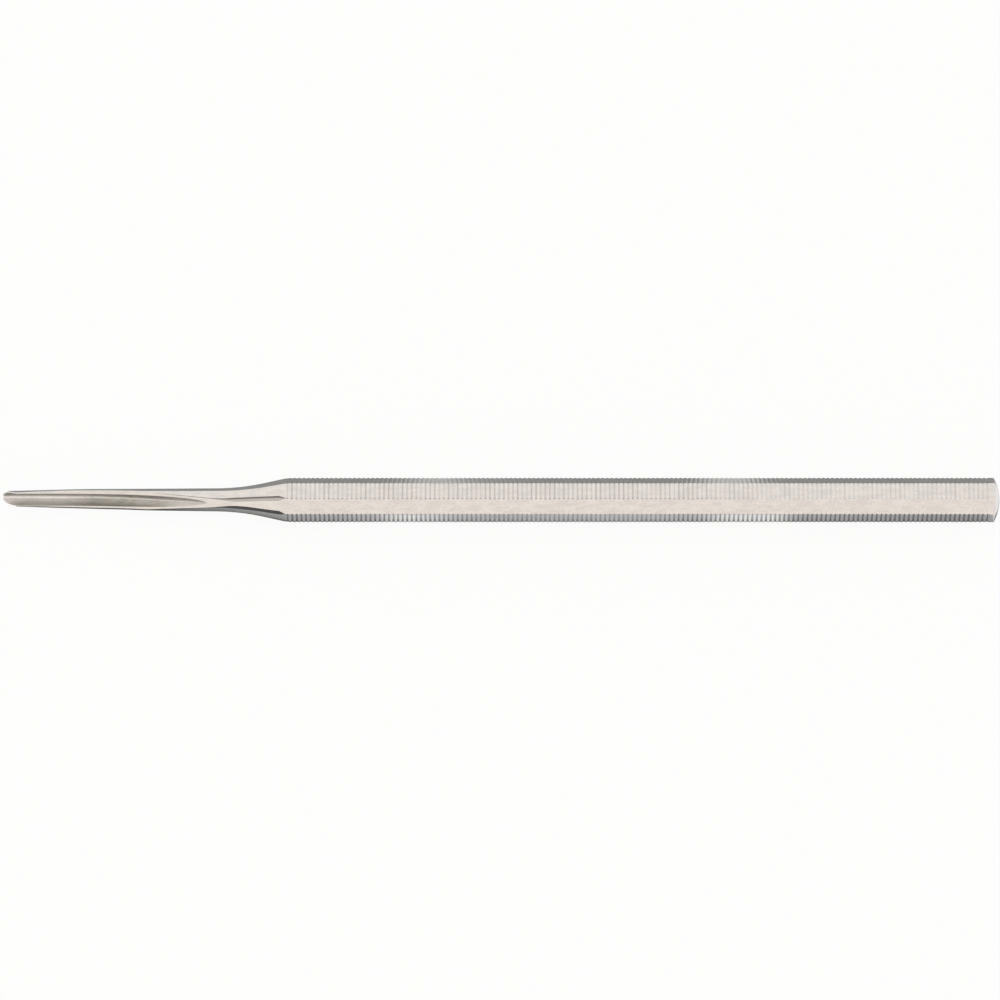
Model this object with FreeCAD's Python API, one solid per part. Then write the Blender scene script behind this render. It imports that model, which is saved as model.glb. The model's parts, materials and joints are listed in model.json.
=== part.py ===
import FreeCAD, Part
import math
import os

from FreeCAD import Vector

# A bone gouge forged and ground from one octagonal bar, in millimetres.
# While it is made, X is the distance from the cutting tip along the bar's axis.
# Heights are distances from that axis, square to a facet.

# Bar and head
overall_length = 146.0
across_flats = 6.0
dome_radius = 6.8

# Serrations round the grip
serration_pitch = 0.672
serration_width = 0.31
serration_floor = 0.09
serration_depth = 0.09
grip_start = 41.98
grip_end_to_head = 1.75

# Neck: every facet falls from the bar towards the blade
neck_top = 42.0
neck_angle = 11.5
neck_shoulder_radius = 7.5
waist_radius = 36.0

# Front facet of the blade, which carries the channel
front_tip_height = -0.17
front_tip_angle = 0.5
front_bend_at = 14.4
front_bend_radius = 150.0
front_blade_angle = 5.1

# Two flat sides of the blade
side_tip_height = 0.97
side_tip_angle = 2.9
side_bend_at = 9.0
side_bend_radius = 320.0
side_blade_angle = 0.4

# Facets between the front and the sides, and the three facets of the back
shoulder_tip_height = 0.955
shoulder_angle = 1.0
back_height = 1.6

# Narrow bevels on both edges of the front facet, from the bar down the neck
bevel_depth = 0.155
bevel_neck_angle = 11.85
bevel_top = 41.9
bevel_run_in_angle = 20.0
bevel_end = 30.0
bevel_blade_angle = 2.3
bevel_waist_radius = 30.0

# Rounding of the blade's back, about a line below the axis, opening as a parabola
round_centre_height = -0.4
round_tip_radius = 1.25
round_opening = 0.0018

# Channel, cut by a round-nosed cutter that rises out of the front facet
channel_radius = 0.91
channel_end = 30.1
channel_angle = 9.4
channel_tip_floor = -1.38
channel_tip_angle = 0.6
channel_bend_radius = 60.0

# Cutting bevel ground across the mouth of the channel
edge_length = 2.2

# The front facet looks half way between up and forward
front_turn = 45.0

# Reach of the blanks past the bar on every side
margin = 2.0

facet_turn = 45.0
facet_count = 8
bar_height = across_flats / 2
corner_height = bar_height / math.cos(math.radians(facet_turn / 2))
reach = corner_height + margin
head_end = overall_length + margin
axis = Vector(1, 0, 0)


def rise(angle):
    """Height gained per millimetre along a line at an angle in degrees."""
    return math.tan(math.radians(angle))


def crossing(at_1, height_1, angle_1, at_2, height_2, angle_2):
    """Point where two sloping lines cross, each given by a point and an angle."""
    rise_1 = rise(angle_1)
    rise_2 = rise(angle_2)
    at = (height_2 - height_1 + rise_1 * at_1 - rise_2 * at_2) / (rise_1 - rise_2)
    return Vector(at, 0, height_1 + rise_1 * (at - at_1))


def along(at, height, angle, where):
    """Point of a sloping line at a distance from the tip."""
    return Vector(where, 0, height + rise(angle) * (where - at))


def rounded_line(points, radii):
    """Edges through a row of points, with an arc of its own radius at each inner one."""
    edges = []
    start = points[0]
    for before, corner, after, radius in zip(points, points[1:], points[2:], radii):
        arriving = (corner - before).normalize()
        leaving = (after - corner).normalize()
        turn = arriving.getAngle(leaving)
        tangent = radius * math.tan(turn / 2)
        inward = (leaving - arriving).normalize()
        middle = corner + inward * (radius / math.cos(turn / 2) - radius)
        arc_start = corner - arriving * tangent
        arc_end = corner + leaving * tangent
        edges.append(Part.makeLine(start, arc_start))
        edges.append(Part.Arc(arc_start, middle, arc_end).toShape())
        start = arc_end
    edges.append(Part.makeLine(start, points[-1]))
    return edges


def slab(edges, turn):
    """Solid below a lengthwise line of edges, turned round the axis to face its own way."""
    first = edges[0].Vertexes[0].Point
    last = edges[-1].Vertexes[-1].Point
    floor = [last, Vector(last.x, 0, -reach), Vector(first.x, 0, -reach), first]
    outline = Part.Wire(edges + Part.makePolygon(floor).Edges)
    outline.translate(Vector(0, -reach, 0))
    solid = Part.Face(outline).extrude(Vector(0, 2 * reach, 0))
    solid.rotate(Vector(0, 0, 0), axis, turn)
    return solid


def ground_facet(blade_points, blade_angle, radii, turn):
    """Slab of one facet: its blade line, the waist, the neck and the bar."""
    last = blade_points[-1]
    waist = crossing(last.x, last.z, blade_angle, neck_top, bar_height, neck_angle)
    points = blade_points + [waist, Vector(neck_top, 0, bar_height), Vector(head_end, 0, bar_height)]
    return slab(rounded_line(points, radii + [waist_radius, neck_shoulder_radius]), turn)


def front_line():
    """Blade points of the front facet: nearly level at the tip, then rising."""
    return [
        along(0, front_tip_height, front_tip_angle, -margin),
        along(0, front_tip_height, front_tip_angle, front_bend_at),
    ]


def side_line():
    """Blade points of a side facet, which draws in towards the tip."""
    return [
        along(0, side_tip_height, side_tip_angle, -margin),
        along(0, side_tip_height, side_tip_angle, side_bend_at),
    ]


def facets():
    """Slabs of the eight facets, in turn from the front one."""
    shoulder = [along(0, shoulder_tip_height, shoulder_angle, -margin)]
    back = [Vector(-margin, 0, back_height)]
    return [
        ground_facet(front_line(), front_blade_angle, [front_bend_radius], front_turn),
        ground_facet(shoulder, shoulder_angle, [], front_turn + facet_turn),
        ground_facet(side_line(), side_blade_angle, [side_bend_radius], front_turn + 2 * facet_turn),
        ground_facet(back, 0, [], front_turn + 3 * facet_turn),
        ground_facet(back, 0, [], front_turn + 4 * facet_turn),
        ground_facet(back, 0, [], front_turn + 5 * facet_turn),
        ground_facet(side_line(), side_blade_angle, [side_bend_radius], front_turn + 6 * facet_turn),
        ground_facet(shoulder, shoulder_angle, [], front_turn + 7 * facet_turn),
    ]


def front_height(where):
    """Height of the front facet's rising blade line at a distance from the tip."""
    bend = front_line()[-1]
    return along(bend.x, bend.z, front_blade_angle, where).z


def edge_height(front, shoulder):
    """Height of the edge between a front and a shoulder facet, half way round between them."""
    return (front + shoulder) / (2 * math.cos(math.radians(facet_turn / 2)))


def neck_bevel(turn):
    """Slab that takes off one edge of the front facet down the neck."""
    shoulder_end = along(0, shoulder_tip_height, shoulder_angle, bevel_end).z
    end_height = edge_height(front_height(bevel_end), shoulder_end)
    neck_height = corner_height - bevel_depth
    points = [
        along(bevel_end, end_height, bevel_blade_angle, -margin),
        crossing(bevel_end, end_height, bevel_blade_angle, neck_top, neck_height, bevel_neck_angle),
        crossing(neck_top, neck_height, bevel_neck_angle, bevel_top, corner_height, bevel_run_in_angle),
        crossing(bevel_top, corner_height, bevel_run_in_angle, 0, reach, 0),
        Vector(head_end, 0, reach),
    ]
    edges = rounded_line(points[:3], [bevel_waist_radius])
    edges.extend(Part.makePolygon(points[2:]).Edges)
    return slab(edges, turn)


def turned(edges, centre_height):
    """Solid of revolution of a lengthwise line, about a line along the front facet."""
    first = edges[0].Vertexes[0].Point
    last = edges[-1].Vertexes[-1].Point
    ends = [last, Vector(last.x, 0, 0), Vector(first.x, 0, 0), first]
    ends = [point for at, point in enumerate(ends) if at == 0 or point != ends[at - 1]]
    outline = Part.Wire(edges + Part.makePolygon(ends).Edges)
    solid = Part.Face(outline).revolve(Vector(0, 0, 0), axis, 360)
    solid.translate(Vector(0, 0, centre_height))
    solid.rotate(Vector(0, 0, 0), axis, front_turn)
    return solid


def round_size(where):
    """Radius of the round form at a distance from the tip."""
    return round_tip_radius + round_opening * where ** 2


def blade_round():
    """Round form that trims the blade's back near the tip and clears the bar."""
    start = -margin
    clear = neck_top
    pole_size = round_tip_radius + round_opening * start * clear
    parabola = Part.BezierCurve()
    parabola.setPoles([
        Vector(start, 0, round_size(start)),
        Vector((start + clear) / 2, 0, pole_size),
        Vector(clear, 0, round_size(clear)),
    ])
    past_bar = Part.makeLine(Vector(clear, 0, round_size(clear)), Vector(head_end, 0, round_size(clear)))
    return turned([parabola.toShape(), past_bar], round_centre_height)


def domed_head():
    """Bar of the full length with a low dome ground on its end."""
    rim = overall_length - dome_radius + math.sqrt(dome_radius ** 2 - reach ** 2)
    half_angle = math.asin(reach / dome_radius) / 2
    middle = Vector(
        overall_length - dome_radius + dome_radius * math.cos(half_angle),
        0,
        dome_radius * math.sin(half_angle),
    )
    edges = [
        Part.makeLine(Vector(-margin, 0, reach), Vector(rim, 0, reach)),
        Part.Arc(Vector(rim, 0, reach), middle, Vector(overall_length, 0, 0)).toShape(),
    ]
    return turned(edges, 0)


def channel():
    """Path of the round-nosed cutter: a rod along its centre line and all above it."""
    end_height = front_height(channel_end) + channel_radius
    tip_height = channel_tip_floor + channel_radius
    bend = crossing(0, tip_height, channel_tip_angle, channel_end, end_height, channel_angle)
    points = [
        along(0, tip_height, channel_tip_angle, -margin),
        bend,
        along(channel_end, end_height, channel_angle, channel_end + 2 * channel_radius),
    ]
    edges = rounded_line(points, [channel_bend_radius])
    path = Part.Wire(edges)
    circle = Part.makeCircle(channel_radius, points[0], points[1] - points[0])
    rod = path.makePipeShell([Part.Wire([circle])], True, True)
    first = points[0]
    last = points[-1]
    top = last.z + reach
    over = [last, Vector(last.x, 0, top), Vector(first.x, 0, top), first]
    outline = Part.Wire(edges + Part.makePolygon(over).Edges)
    outline.translate(Vector(0, -channel_radius, 0))
    above = Part.Face(outline).extrude(Vector(0, 2 * channel_radius, 0))
    cutter = rod.fuse(above)
    cutter.rotate(Vector(0, 0, 0), axis, front_turn)
    return cutter


def cutting_bevel():
    """Wedge taken off the tip, from the rims down to the edge on the back."""
    rim = along(0, front_tip_height, front_tip_angle, edge_length)
    edge = Vector(0, 0, -back_height)
    slope = (rim - edge).normalize()
    corners = [
        edge - slope * margin,
        rim + slope * margin,
        Vector(-2 * margin, 0, rim.z + margin),
    ]
    outline = Part.makePolygon(corners + corners[:1])
    outline.translate(Vector(0, -reach, 0))
    wedge = Part.Face(outline).extrude(Vector(0, 2 * reach, 0))
    wedge.rotate(Vector(0, 0, 0), axis, front_turn)
    return wedge


def serration_comb(turn):
    """Row of grooves across one facet of the grip, joined above it."""
    wall_run = (serration_width - serration_floor) / 2
    air = serration_depth * (serration_pitch - serration_width) / (4 * wall_run)
    half_top = serration_width / 2 + wall_run * air / serration_depth
    half_floor = serration_floor / 2
    high = bar_height + air
    low = bar_height - serration_depth
    room = overall_length - grip_end_to_head - grip_start
    count = int(room / serration_pitch) + 1
    points = [Vector(grip_start - serration_pitch, 0, high)]
    for number in range(count):
        centre = grip_start + number * serration_pitch
        points.append(Vector(centre - half_top, 0, high))
        points.append(Vector(centre - half_floor, 0, low))
        points.append(Vector(centre + half_floor, 0, low))
        points.append(Vector(centre + half_top, 0, high))
    points.append(Vector(centre + serration_pitch, 0, high))
    points.append(Vector(centre + serration_pitch, 0, reach))
    points.append(Vector(grip_start - serration_pitch, 0, reach))
    outline = Part.makePolygon(points + points[:1])
    outline.translate(Vector(0, -bar_height, 0))
    comb = Part.Face(outline).extrude(Vector(0, 2 * bar_height, 0))
    comb.rotate(Vector(0, 0, 0), axis, turn)
    return comb


def ground_blank():
    """Smooth gouge: facets, neck bevels, round back and domed head."""
    solid = domed_head()
    for part in facets():
        solid = solid.common(part)
    for side in (-1, 1):
        solid = solid.common(neck_bevel(front_turn + side * facet_turn / 2))
    return solid.common(blade_round())


def gouge():
    """Finished gouge, lying on the facet opposite its upper one."""
    solid = ground_blank()
    solid = solid.cut(channel())
    solid = solid.cut(cutting_bevel())
    for number in range(1, facet_count):
        solid = solid.cut(serration_comb(front_turn + number * facet_turn))
    solid.translate(Vector(-overall_length / 2, 0, bar_height))
    return solid.Solids[0]


os.makedirs("parts", exist_ok=True)
gouge().exportStep("parts/gouge.step")
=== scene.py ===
"""Dresses the bone gouge: one satin steel bar with a channelled blade and a serrated grip.

Inside the classes a place is a distance from the cutting tip along the bar, and a height is a
distance from the bar's axis square to a facet, both in millimetres. A section is drawn in two
directions: outward through the front facet, and across it towards the lower front shoulder.
"""

from __future__ import annotations

import json
import logging
import math
from dataclasses import dataclass, field
from enum import Enum, IntEnum
from typing import Any, ClassVar

import bmesh
import bpy
import numpy as np
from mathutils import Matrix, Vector

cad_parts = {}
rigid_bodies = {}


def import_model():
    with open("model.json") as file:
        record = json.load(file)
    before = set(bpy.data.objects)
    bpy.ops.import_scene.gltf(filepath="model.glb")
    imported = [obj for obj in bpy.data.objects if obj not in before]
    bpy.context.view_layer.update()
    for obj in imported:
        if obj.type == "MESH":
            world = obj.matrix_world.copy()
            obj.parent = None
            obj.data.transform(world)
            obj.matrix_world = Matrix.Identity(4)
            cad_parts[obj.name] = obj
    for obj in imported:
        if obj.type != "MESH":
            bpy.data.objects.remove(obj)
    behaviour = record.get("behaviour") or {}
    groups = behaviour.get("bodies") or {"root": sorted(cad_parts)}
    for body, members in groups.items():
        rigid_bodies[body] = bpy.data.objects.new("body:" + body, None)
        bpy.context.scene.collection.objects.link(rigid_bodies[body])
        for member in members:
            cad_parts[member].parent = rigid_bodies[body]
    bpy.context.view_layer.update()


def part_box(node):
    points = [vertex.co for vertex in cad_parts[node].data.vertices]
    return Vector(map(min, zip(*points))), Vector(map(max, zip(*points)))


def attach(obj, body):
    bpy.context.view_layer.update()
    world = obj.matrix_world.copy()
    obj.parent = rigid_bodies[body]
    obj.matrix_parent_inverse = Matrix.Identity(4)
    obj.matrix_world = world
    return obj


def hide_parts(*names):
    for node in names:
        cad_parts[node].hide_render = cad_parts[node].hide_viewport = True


log = logging.getLogger("bone_gouge")

MM = 0.001
NODE = "gouge"
BODY = "root"
FULL_TURN = 360.0
QUARTER_TURN = 90.0
TINY = 1e-6
WELD = 1e-7
QUAD = 4

Colour = tuple[float, float, float, float]
Stretch = tuple[float, float, float]
Limits = tuple[float, float]
Numbers = tuple[float, ...]
Outline = tuple[tuple[float, float], ...]
Levels = tuple[tuple[float, float], ...]
Pair = tuple[np.ndarray, np.ndarray]


class Facet(Enum):
    """Flats round the bar, by their turn in degrees from the front one."""

    FRONT = 0.0
    LOWER_BEVEL = 22.5
    LOWER_SHOULDER = 45.0
    LOWER_SIDE = 90.0
    LOWER_BACK = 135.0
    BACK = 180.0
    UPPER_BACK = 225.0
    UPPER_SIDE = 270.0
    UPPER_SHOULDER = 315.0
    UPPER_BEVEL = 337.5


BEVELS = (Facet.LOWER_BEVEL, Facet.UPPER_BEVEL)


class Part(IntEnum):
    """What a point of a section lies on: a plain facet, or a part of the channelled front one."""

    PLAIN = -1
    WALL = 0
    RIM = 1
    LAND = 2


class Mark(Enum):
    """Traces that the steel's colour and finish follow, painted light and shade among them, each a
    number from 0 to 1 for every point.
    """

    # Depth of the grooves, which carries their dirt and painted shade.
    CUT = "cut"
    # Notches where the grooves cross the ridge, with painted shade in them.
    NICK = "nick"
    EDGE = "edge"
    CHANNEL = "channel"
    # Polished line along the channel, with a painted highlight in its colour.
    TRACK = "track"
    TARNISH = "tarnish"
    # Painted shade on the channel's upper wall.
    SHADE = "shade"
    # Painted dark reflection along the ridge above the front facet.
    SEAM = "seam"
    # Bevels beside the front facet, with a painted dark reflection on them.
    STRIP = "strip"


Marks = dict[Mark, np.ndarray]


class Finish(IntEnum):
    """Finishes of the steel, by their place among the body's materials."""

    SATIN = 0
    HONED = 1


def ramp(past: np.ndarray, reach: float) -> np.ndarray:
    """Zero before a corner and equal to the distance past it after, rounded within its reach.

    Args:
        past: Distances past the corner.
        reach: How far the rounding goes to either side.

    Returns:
        The rounded ramp at each distance.
    """
    rounded = (past + reach) ** 2 / (4 * reach)
    return np.where(past < -reach, 0.0, np.where(past > reach, past, rounded))


def support(
    height_a: np.ndarray, turn_a: float, height_b: np.ndarray, turn_b: float, turn: float
) -> np.ndarray:
    """Height, at some turn, of the corner between two facets.

    Args:
        height_a: Heights of the first facet.
        turn_a: Its turn in degrees.
        height_b: Heights of the second facet.
        turn_b: Its turn in degrees.
        turn: Turn of the wanted height in degrees.

    Returns:
        The corner's height measured square to that turn.
    """
    share_a = math.sin(math.radians(turn_b - turn))
    share_b = math.sin(math.radians(turn - turn_a))
    return (height_a * share_a + height_b * share_b) / math.sin(math.radians(turn_b - turn_a))


def strips(first: int, rows: int, width: int) -> list[tuple[int, int, int, int]]:
    """Four-sided faces between rings of points.

    Args:
        first: Number of the first ring's first point.
        rows: Number of rings.
        width: Points in a ring.

    Returns:
        The faces, all looking outward.
    """
    faces = []
    for row in range(rows - 1):
        here = first + row * width
        there = here + width
        for number in range(width):
            after = (number + 1) % width
            faces.append((here + number, here + after, there + after, there + number))
    return faces


def linked(name: str, data: bpy.types.ID) -> bpy.types.Object:
    """Puts some data in the scene.

    Args:
        name: Name of the object.
        data: Its mesh, camera or light.

    Returns:
        The object that shows the data.
    """
    thing = bpy.data.objects.new(name, data)
    bpy.context.scene.collection.objects.link(thing)
    return thing


@dataclass(frozen=True)
class Columns:
    """Points round a section: each lies on a facet, or on the rounded edge after it.

    A share is how far along its facet, or its part of the front facet, a point lies. The grip
    keeps only some of the points.
    """

    facet: np.ndarray
    share: np.ndarray
    normal: np.ndarray
    part: np.ndarray
    side: np.ndarray
    on_grip: np.ndarray
    wall_points: ClassVar[int] = 15
    rim_shares: ClassVar[Numbers] = (1 / 3, 2 / 3, 1.0)
    land_shares: ClassVar[Numbers] = (0.45, 0.7, 0.85, 0.93, 1.0)
    grip_land_shares: ClassVar[Numbers] = (0.93, 1.0)
    flat_shares: ClassVar[Numbers] = (0.0, 0.06, 0.12, 0.2, 0.35, 0.5, 0.65, 0.8, 0.94, 1.0)
    grip_flat_shares: ClassVar[Numbers] = (0.0, 0.06, 0.94, 1.0)
    edge_points: ClassVar[int] = 2

    @classmethod
    def around(cls) -> Columns:
        """Lays out the whole section, from the upper end of the front facet round to it again.

        Returns:
            The columns, with normals in radians.
        """
        half = [(Part.WALL, share, False) for share in np.linspace(0, 1, cls.wall_points)]
        half += [(Part.RIM, share, False) for share in cls.rim_shares]
        half += [(Part.LAND, share, share in cls.grip_land_shares) for share in cls.land_shares]
        flat = [(share, share in cls.grip_flat_shares) for share in cls.flat_shares]
        facets = list(Facet)
        rows = []
        for number, facet in enumerate(facets):
            turn = facet.value
            following = facets[(number + 1) % len(facets)]
            turn_after = following.value or FULL_TURN
            if facet is Facet.FRONT:
                for side, points in ((-1, half[:0:-1]), (1, half)):
                    rows += [(number, share, turn, part, side, kept) for part, share, kept in points]
            else:
                plain = facet not in BEVELS
                rows += [(number, share, turn, Part.PLAIN, 0, kept and plain) for share, kept in flat]
            for step in range(1, cls.edge_points + 1):
                normal = turn + (turn_after - turn) * step / (cls.edge_points + 1)
                after_bevel = facet in BEVELS and step == cls.edge_points
                before_bevel = following in BEVELS and step == 1
                kept = not (after_bevel or before_bevel)
                rows.append((number, 1.0, normal, Part.PLAIN, 0, kept))
        numbers, shares, normals, parts, sides, grip = (np.array(column) for column in zip(*rows))
        return cls(numbers, shares, np.radians(normals), parts, sides, grip.astype(bool))

    def on(self, *facets: Facet) -> np.ndarray:
        """Whether each point lies on one of some facets, or on the edge after it."""
        return np.isin(self.facet, [list(Facet).index(facet) for facet in facets])

    @property
    def edge(self) -> np.ndarray:
        """1 on the rounded edges and 0 on the facets."""
        turns = np.radians([facet.value for facet in Facet])
        return (self.normal != turns[self.facet]) * 1.0

    @property
    def ridge(self) -> np.ndarray:
        """Whether each point lies on the ridge between the front facet and the upper shoulder."""
        return self.on(Facet.UPPER_SHOULDER) & (self.share == 1.0)


@dataclass(frozen=True)
class Run:
    """Straight run along the bar, through one height at one place."""

    at: float
    height: float
    angle: float

    @property
    def rise(self) -> float:
        """Height gained per millimetre."""
        return math.tan(math.radians(self.angle))

    def height_at(self, place: float) -> float:
        """Height of the run at a place."""
        return self.height + self.rise * (place - self.at)

    def meets(self, other: Run) -> float:
        """Place where this run crosses another."""
        return (other.height_at(0) - self.height_at(0)) / (self.rise - other.rise)


@dataclass(frozen=True)
class GroundLine:
    """Lengthwise line of a facet: straight runs with a ground radius where they meet."""

    runs: tuple[Run, ...]
    radii: Numbers

    def heights(self, places: np.ndarray) -> np.ndarray:
        """Heights of the line.

        Args:
            places: Distances from the tip.

        Returns:
            The height at each place.
        """
        first = self.runs[0]
        result = first.height + first.rise * (places - first.at)
        for run, following, radius in zip(self.runs, self.runs[1:], self.radii):
            turn = following.rise - run.rise
            result = result + turn * ramp(places - run.meets(following), radius * abs(turn) / 2)
        return result


@dataclass
class Bar:
    """Octagonal bar that the whole gouge is made from, with its low domed head."""

    length: float
    across_flats: float
    dome_radius: float = 6.8
    facet_turn: float = 45.0

    @property
    def flat(self) -> float:
        """Height of every facet of the bar."""
        return self.across_flats / 2

    @property
    def corner(self) -> float:
        """Distance of the bar's corners from the axis."""
        return self.flat / math.cos(math.radians(self.facet_turn / 2))

    def dome_place(self, radius: np.ndarray) -> np.ndarray:
        """Places where the dome stands at given distances from the axis."""
        return self.length - self.dome_radius + np.sqrt(self.dome_radius**2 - radius**2)


@dataclass
class Neck:
    """Ground neck: every facet falls from the bar, with narrow bevels beside the front one."""

    bar: Bar
    top: float = 42.0
    angle: float = 11.5
    shoulder_radius: float = 7.5
    waist_radius: float = 36.0
    bevel_depth: float = 0.155
    bevel_neck_angle: float = 11.85
    bevel_top: float = 41.9
    bevel_run_in_angle: float = 20.0
    bevel_run_in_radius: float = 0.4
    bevel_end: float = 30.0
    bevel_blade_angle: float = 2.3
    bevel_waist_radius: float = 30.0
    bevel_fade: float = 2.0
    # Where the painted dark reflection along the ridge starts, fades in and spreads over the upper
    # bevel.
    seam_from: float = 22.0
    seam_fade: float = 8.0
    seam_share: float = 0.425
    seam_softness: float = 0.25

    def facet_line(self, blade_runs: tuple[Run, ...], radii: Numbers) -> GroundLine:
        """Whole line of one facet, from its runs on the blade to the bar.

        Args:
            blade_runs: Runs of the facet on the blade.
            radii: Radii between those runs.

        Returns:
            The line from the tip to the head.
        """
        neck = Run(self.top, self.bar.flat, self.angle)
        grip = Run(self.top, self.bar.flat, 0.0)
        return GroundLine(blade_runs + (neck, grip), radii + (self.waist_radius, self.shoulder_radius))

    def bevel_line(self, front: Run, shoulder: Run) -> GroundLine:
        """Line of a bevel beside the front facet.

        Args:
            front: Rising blade run of the front facet.
            shoulder: Blade run of the shoulder facet.

        Returns:
            The bevel's line, which climbs clear of the bar at its top.
        """
        widening = math.cos(math.radians(self.bar.facet_turn / 2))
        both = front.height_at(self.bevel_end) + shoulder.height_at(self.bevel_end)
        blade = Run(self.bevel_end, both / (2 * widening), self.bevel_blade_angle)
        neck = Run(self.top, self.bar.corner - self.bevel_depth, self.bevel_neck_angle)
        run_in = Run(self.bevel_top, self.bar.corner, self.bevel_run_in_angle)
        return GroundLine((blade, neck, run_in), (self.bevel_waist_radius, self.bevel_run_in_radius))

    def marks(self, columns: Columns, places: np.ndarray) -> Marks:
        """Painted dark reflections along the ridge above the front facet and on the bevels.

        Args:
            columns: Columns of a section.
            places: Distance of every point from the tip, ring by ring.

        Returns:
            The marks of every point.
        """
        rings = len(places) // len(columns.facet)
        beside = np.clip((self.seam_share - columns.share) / self.seam_softness, 0.0, 1.0)
        # Painted dark reflection on the upper bevel's edge and on the ridge.
        seam = np.where(columns.on(Facet.UPPER_BEVEL), beside, columns.ridge)
        from_blade = np.clip((places - self.seam_from) / self.seam_fade, 0.0, 1.0)
        from_end = np.clip((places - self.bevel_end) / self.bevel_fade, 0.0, 1.0)
        return {
            Mark.SEAM: np.tile(seam, rings) * from_blade,
            # Painted dark reflection on both bevels along the neck.
            Mark.STRIP: np.tile(columns.on(*BEVELS), rings) * from_end,
        }


@dataclass
class Channel:
    """Round-bottomed channel, cut by a tool that climbs out through the front facet.

    Its finish goes by places along it, and by shares across its wall from -1 at the upper rim
    to 1 at the lower one.
    """

    front: Run
    radius: float = 0.91
    end: float = 30.1
    angle: float = 9.4
    tip_floor: float = -1.38
    tip_angle: float = 0.6
    bend_radius: float = 60.0
    narrowest: float = 0.05
    spread: float = 0.12
    most_of_facet: float = 0.5
    rim_radius: float = 0.035
    rim_of_width: float = 0.3
    rim_of_land: float = 0.45
    least_rim: float = 0.0001
    # Where the polished line with its painted highlight lies across the channel's wall.
    track_places: Numbers = (9.0, 20.0)
    track_shares: Numbers = (0.0, -0.08)
    track_width: float = 0.09
    shade_width: float = 0.15
    shade_places: Numbers = (9.0, 20.0)
    shade_levels: Numbers = (1.0, 0.45)
    tarnish_places: Numbers = (9.0, 14.0, 20.0, 23.0, 26.0)
    tarnish_levels: Numbers = (0.15, 0.8, 0.95, 0.85, 0.4)

    @property
    def floor_line(self) -> GroundLine:
        """Line of the channel's floor.

        Returns:
            A line that is level near the tip and climbs to the channel's end.
        """
        tip = Run(0.0, self.tip_floor, self.tip_angle)
        climb = Run(self.end, self.front.height_at(self.end), self.angle)
        return GroundLine((tip, climb), (self.bend_radius,))

    def sections(
        self,
        places: np.ndarray,
        top: np.ndarray,
        half_width: np.ndarray,
        share: np.ndarray,
        part: np.ndarray,
    ) -> Pair:
        """Points of the front facet's outline, through the land, the rim and the channel.

        Args:
            places: Distances from the tip.
            top: Heights of the front facet there.
            half_width: Distances from the middle to where the facet's flat part ends.
            share: How far along its part each point lies, from 0 to 1.
            part: The part that each point lies on.

        Returns:
            Heights and distances from the middle, all on one side.
        """
        floor = self.floor_line.heights(places)
        depth = top - floor
        sunk = np.clip(depth, 0.0, None)
        half_turn = np.arccos(np.clip(1 - sunk / self.radius, 0.0, 1.0))
        straight = np.clip(sunk - self.radius, 0.0, None)
        beyond = np.clip(places - self.end, 0.0, None)
        spare = np.minimum(self.narrowest + self.spread * beyond, self.most_of_facet * half_width)
        girth = np.maximum(self.radius * half_turn + straight, spare)
        width = np.maximum(self.radius * np.sin(half_turn), spare)
        most = np.minimum(self.rim_of_width * width, self.rim_of_land * (half_width - width))
        rim = np.clip(np.minimum(self.rim_radius, most), self.least_rim, None)

        def on_wall(along: np.ndarray) -> Pair:
            """Point of the wall by its path from the floor.

            Args:
                along: Length of the path.

            Returns:
                Height and distance from the middle.
            """
            bend = np.minimum(along / self.radius, math.pi / 2)
            up = np.clip(along - self.radius * math.pi / 2, 0.0, None)
            wall = floor + self.radius * (1 - np.cos(bend)) + up
            out = self.radius * np.sin(bend)
            return np.where(depth > 0, np.minimum(wall, top), top), out

        wall_u, wall_v = on_wall(share * (girth - rim))
        foot_u, foot_v = on_wall(girth - rim)
        land_v = width + rim
        keep = (1 - share) ** 2
        turn = 2 * share * (1 - share)
        rim_u = keep * foot_u + turn * top + share**2 * top
        rim_v = keep * foot_v + turn * width + share**2 * land_v
        flat_v = land_v + (half_width - land_v) * share
        out_u = np.where(part == Part.WALL, wall_u, np.where(part == Part.RIM, rim_u, top))
        out_v = np.where(part == Part.WALL, wall_v, np.where(part == Part.RIM, rim_v, flat_v))
        return out_u, out_v

    def marks(self, columns: Columns, places: np.ndarray) -> Marks:
        """Marks in the channel: tarnish, a polished line with a painted highlight on it, and painted
        shade above it.

        Args:
            columns: Columns of a section.
            places: Distance of every point from the tip, ring by ring.

        Returns:
            The marks of every point.
        """
        rings = len(places) // len(columns.facet)
        inside = np.tile(columns.part == Part.WALL, rings) * (places <= self.end)
        across = np.tile(columns.share * columns.side, rings)
        middle = np.interp(places, self.track_places, self.track_shares)
        # Painted highlight along the polished line.
        track = np.clip(1 - np.abs(across - middle) / self.track_width, 0.0, 1.0)
        # Painted shade on the upper wall, above the highlight.
        above = np.clip((middle - self.track_width - across) / self.shade_width, 0.0, 1.0)
        tarnish = np.interp(places, self.tarnish_places, self.tarnish_levels)
        shading = np.interp(places, self.shade_places, self.shade_levels)
        return {
            Mark.CHANNEL: inside * 1.0,
            Mark.TRACK: inside * track,
            Mark.TARNISH: inside * tarnish,
            Mark.SHADE: inside * above * shading,
        }


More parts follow.
